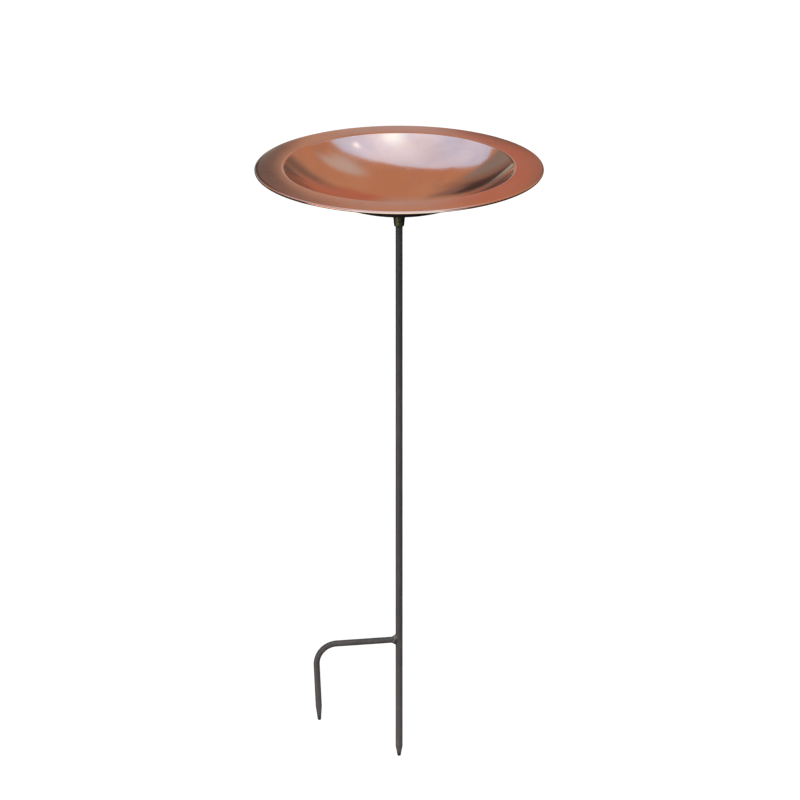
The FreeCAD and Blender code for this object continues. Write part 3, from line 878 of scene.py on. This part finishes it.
# ------------------------------------------------------------------------- stage
def glowing(name, colour_of, strength=1.0):
    """Material that only gives light, of one colour or one worked out from its graph."""
    material, graph, place = new_material(name)
    tone = colour_of(graph, place) if callable(colour_of) else (*colour_of, 1.0)
    light = graph.node("ShaderNodeEmission", {"Color": tone, "Strength": strength})
    graph.node("ShaderNodeOutputMaterial", {"Surface": light.outputs["Emission"]})
    return material


def add_card(name, corners, material):
    """A flat card that lights the object and shows in it, and that the camera doesn't see."""
    mesh = bpy.data.meshes.new(name)
    mesh.from_pydata(corners, [], [list(range(len(corners)))])
    mesh.materials.append(material)
    card = bpy.data.objects.new(name, mesh)
    card.visible_camera = False
    card.visible_diffuse = False
    card.visible_shadow = False
    bpy.context.scene.collection.objects.link(card)
    return card


class BIRDBATH_OT_stage(PieceOperator):
    """Set the pale floor, the camera and the soft lights"""

    bl_idname = "bird_bath.stage"
    bl_label = "Studio"

    def execute(self, context):
        stage, scene = context.scene.bird_bath_stage, context.scene
        scene.view_settings.view_transform = "Standard"
        self.make_world(scene)
        self.make_floor(stage)
        head = CREST_HEIGHT + CEILING_RISE
        self.make_room(head)
        self.make_window(head)
        self.make_strips(head)
        self.make_camera(scene, stage)
        return {"FINISHED"}

    def make_world(self, scene):
        """Room light, soft and from the front left on matt faces, and dark below in shiny ones."""
        world = bpy.data.worlds.new("studio_air")
        world.use_nodes = True
        g = Graph(world.node_tree)
        parts = g.node("ShaderNodeSeparateXYZ", {
            "Vector": g.node("ShaderNodeTexCoord").outputs["Generated"],
        }).outputs
        rays = g.node("ShaderNodeLightPath").outputs
        behind = g.maths("ADD", parts["Y"], g.maths("MULTIPLY", parts["X"], 0.55))
        matt = g.mix(g.span(behind, -0.80, 0.30), MATT_FRONT, MATT_BEHIND)
        shiny = g.mix(g.span(parts["Z"], 0.0, 0.16), SHINY_BELOW, SHINY_ABOVE)
        room = g.mix(rays["Is Glossy Ray"], matt, shiny)
        shown = g.mix(rays["Is Camera Ray"], room, (1.0, 1.0, 1.0))
        air = g.node("ShaderNodeBackground", {"Color": shown, "Strength": 1.0})
        g.node("ShaderNodeOutputWorld", {"Surface": air.outputs["Background"]})
        scene.world = world

    def make_floor(self, stage):
        """Pale floor at the height of the stake's point, brighter to the camera than as a light."""
        half, level = FLOOR_HALF, float(POLE_LOW[2])
        corners = [
            (-half, -half, level), (half, -half, level), (half, half, level), (-half, half, level)
        ]
        mesh = bpy.data.meshes.new("floor")
        mesh.from_pydata(corners, [], [(0, 1, 2, 3)])
        material, g, _ = new_material("pale_floor")
        tone = (*stage.floor_colour, 1.0)
        matt = g.node("ShaderNodeBsdfDiffuse", {"Color": FLOOR_MATT})
        seen = g.node("ShaderNodeLightPath").outputs["Is Camera Ray"]
        strength = g.span(seen, 0.0, 1.0, FLOOR_GLOW, FLOOR_GLOW_SEEN)
        glow = g.node("ShaderNodeEmission", {"Color": tone, "Strength": strength})
        both = g.node("ShaderNodeAddShader", {0: matt.outputs[0], 1: glow.outputs[0]})
        g.node("ShaderNodeOutputMaterial", {"Surface": both.outputs[0]})
        mesh.materials.append(material)
        floor = bpy.data.objects.new("floor", mesh)
        floor.visible_glossy = False
        bpy.context.scene.collection.objects.link(floor)

    def make_room(self, head):
        """A warm ceiling and back wall, whose tones show in the copper."""

        def room_colour(g, place):
            parts = g.node("ShaderNodeSeparateXYZ", {"Vector": place}).outputs
            height = g.maths("SUBTRACT", parts["Z"], CREST_HEIGHT)
            tone = ROOM_BROWN
            for (x, z), (half_x, half_z), (soft_x, soft_z), rgb in WALL_TONES:
                aside = g.maths("ABSOLUTE", g.maths("SUBTRACT", parts["X"], x))
                above = g.maths("ABSOLUTE", g.maths("SUBTRACT", height, z))
                share = g.maths(
                    "MULTIPLY",
                    g.span(aside, half_x - soft_x, half_x + soft_x, 1.0, 0.0),
                    g.span(above, half_z - soft_z, half_z + soft_z, 1.0, 0.0),
                )
                tone = g.mix(share, tone, rgb)
            reach = g.vector("LENGTH", g.vector("SUBTRACT", place, (*GLIMMER_AT, head - 0.10)))
            return g.mix(g.span(reach, 0.12, 0.38, 1.0, 0.0), tone, CEILING_GLIMMER)

        room = glowing("room_light", room_colour)
        left, right, foot = -ROOM_HALF, ROOM_HALF, CREST_HEIGHT - 0.02
        add_card("warm_ceiling", [
            (left, -ROOM_HALF, head), (right, -ROOM_HALF, head),
            (right, WALL_AT, head), (left, WALL_AT, head),
        ], room)
        add_card("back_wall", [
            (left, WALL_AT, foot), (right, WALL_AT, foot),
            (right, WALL_AT, head), (left, WALL_AT, head),
        ], room)

    def make_window(self, head):
        """A pale blue window of light in the ceiling, brightest at the sun, and a small lamp."""

        def window_colour(g, place):
            near = g.vector("LENGTH", g.vector("SUBTRACT", place, (*SUN_AT, head)))
            cloud = g.noise(place, 2.2, 3.0)
            sky = g.mix(g.span(cloud, 0.3, 0.7), SKY_DIM, SKY_BRIGHT)
            glow = g.mix(g.span(near, 0.10, 0.75, 1.0, 0.0), sky, SUN_HALO)
            return g.mix(g.span(near, 0.03, 0.22, 1.0, 0.0), glow, SUN)

        window = glowing("window_light", window_colour)
        add_card("window", [(x, y, head - 0.01) for x, y in WINDOW_OUTLINE], window)
        add_card("window_foot", [
            (x, WALL_AT - 0.01, CREST_HEIGHT + z) for x, z in WINDOW_FOOT_OUTLINE
        ], window)
        x, y = LAMP_AT
        lamp = [(x + LAMP_RADIUS * math.cos(t), y + LAMP_RADIUS * math.sin(t), head - 0.03)
                for t in np.linspace(0, FULL_TURN, 16, endpoint=False)]
        add_card("small_lamp", lamp, glowing("lamp_light", LAMP, 1.3))

    def make_strips(self, head):
        """Strips that light the rolled edge's upper half, its lower half and the stake's left."""
        foot = CREST_HEIGHT - 0.35
        add_card("front_light", [
            (-1.3, -1.5, head), (1.2, -1.5, head), (1.2, -2.0, foot), (-1.3, -2.0, foot),
        ], glowing("front_glow", FRONT_GLOW))

        half, rim_front = 0.22, float(BOWL_LOW[1])
        far_top = (rim_front - 0.22, CREST_HEIGHT - 0.04)
        near_foot = (rim_front - 0.03, CREST_HEIGHT - 0.13)
        add_card("lip_light", [
            (-half, *far_top), (half, *far_top), (half, *near_foot), (-half, *near_foot),
        ], glowing("lip_glow", LIP_GLOW))

        low, high = POLE_LOW[2] - 0.7, CREST_HEIGHT - 0.10
        back, front = (-2.1, -0.6), (-0.9, -2.0)
        add_card("left_light", [
            (*back, low), (*front, low), (*front, high), (*back, high),
        ], glowing("side_light", SIDE_GLOW, 2.0))

    def make_camera(self, scene, stage):
        """Long lens from the front, so that upright lines stay parallel."""
        data = bpy.data.cameras.new("camera")
        data.lens = data.sensor_width * stage.distance / stage.field
        data.clip_end = 2.5 * stage.distance
        camera = bpy.data.objects.new("camera", data)
        back = np.array([0.0, -math.cos(stage.elevation), math.sin(stage.elevation)])
        aim = np.array([stage.aim_side, 0.0, stage.aim_height])
        camera.location = aim + back * stage.distance
        camera.rotation_euler = (QUARTER - stage.elevation, 0.0, 0.0)
        scene.collection.objects.link(camera)
        scene.camera = camera


# ------------------------------------------------------------------ registration
class BIRDBATH_PT_panel(bpy.types.Panel):
    """The bird bath's operators, in the order in which they are run"""

    bl_label = "Bird Bath"
    bl_idname = "BIRDBATH_PT_panel"
    bl_space_type = "VIEW_3D"
    bl_region_type = "UI"
    bl_category = "Bird Bath"

    def draw(self, context):
        for operator in OPERATORS:
            self.layout.operator(operator.bl_idname)


OPERATORS = (
    BIRDBATH_OT_bowl, BIRDBATH_OT_fitting, BIRDBATH_OT_braze, BIRDBATH_OT_pole,
    BIRDBATH_OT_prong, BIRDBATH_OT_weld, BIRDBATH_OT_stage,
)
SETTINGS = {
    "bird_bath_bowl": BirdBathBowl,
    "bird_bath_fitting": BirdBathFitting,
    "bird_bath_stake": BirdBathStake,
    "bird_bath_stage": BirdBathStage,
}


def register():
    for group in SETTINGS.values():
        bpy.utils.register_class(group)
    for name, group in SETTINGS.items():
        setattr(bpy.types.Scene, name, PointerProperty(type=group))
    for operator in OPERATORS:
        bpy.utils.register_class(operator)
    bpy.utils.register_class(BIRDBATH_PT_panel)


def unregister():
    bpy.utils.unregister_class(BIRDBATH_PT_panel)
    for operator in reversed(OPERATORS):
        bpy.utils.unregister_class(operator)
    for name in SETTINGS:
        delattr(bpy.types.Scene, name)
    for group in reversed(SETTINGS.values()):
        bpy.utils.unregister_class(group)


def main():
    register()
    bpy.ops.bird_bath.bowl()
    bpy.ops.bird_bath.fitting()
    bpy.ops.bird_bath.braze()
    bpy.ops.bird_bath.pole()
    bpy.ops.bird_bath.prong()
    bpy.ops.bird_bath.weld()
    bpy.ops.bird_bath.stage()


if __name__ == "__main__":
    main()
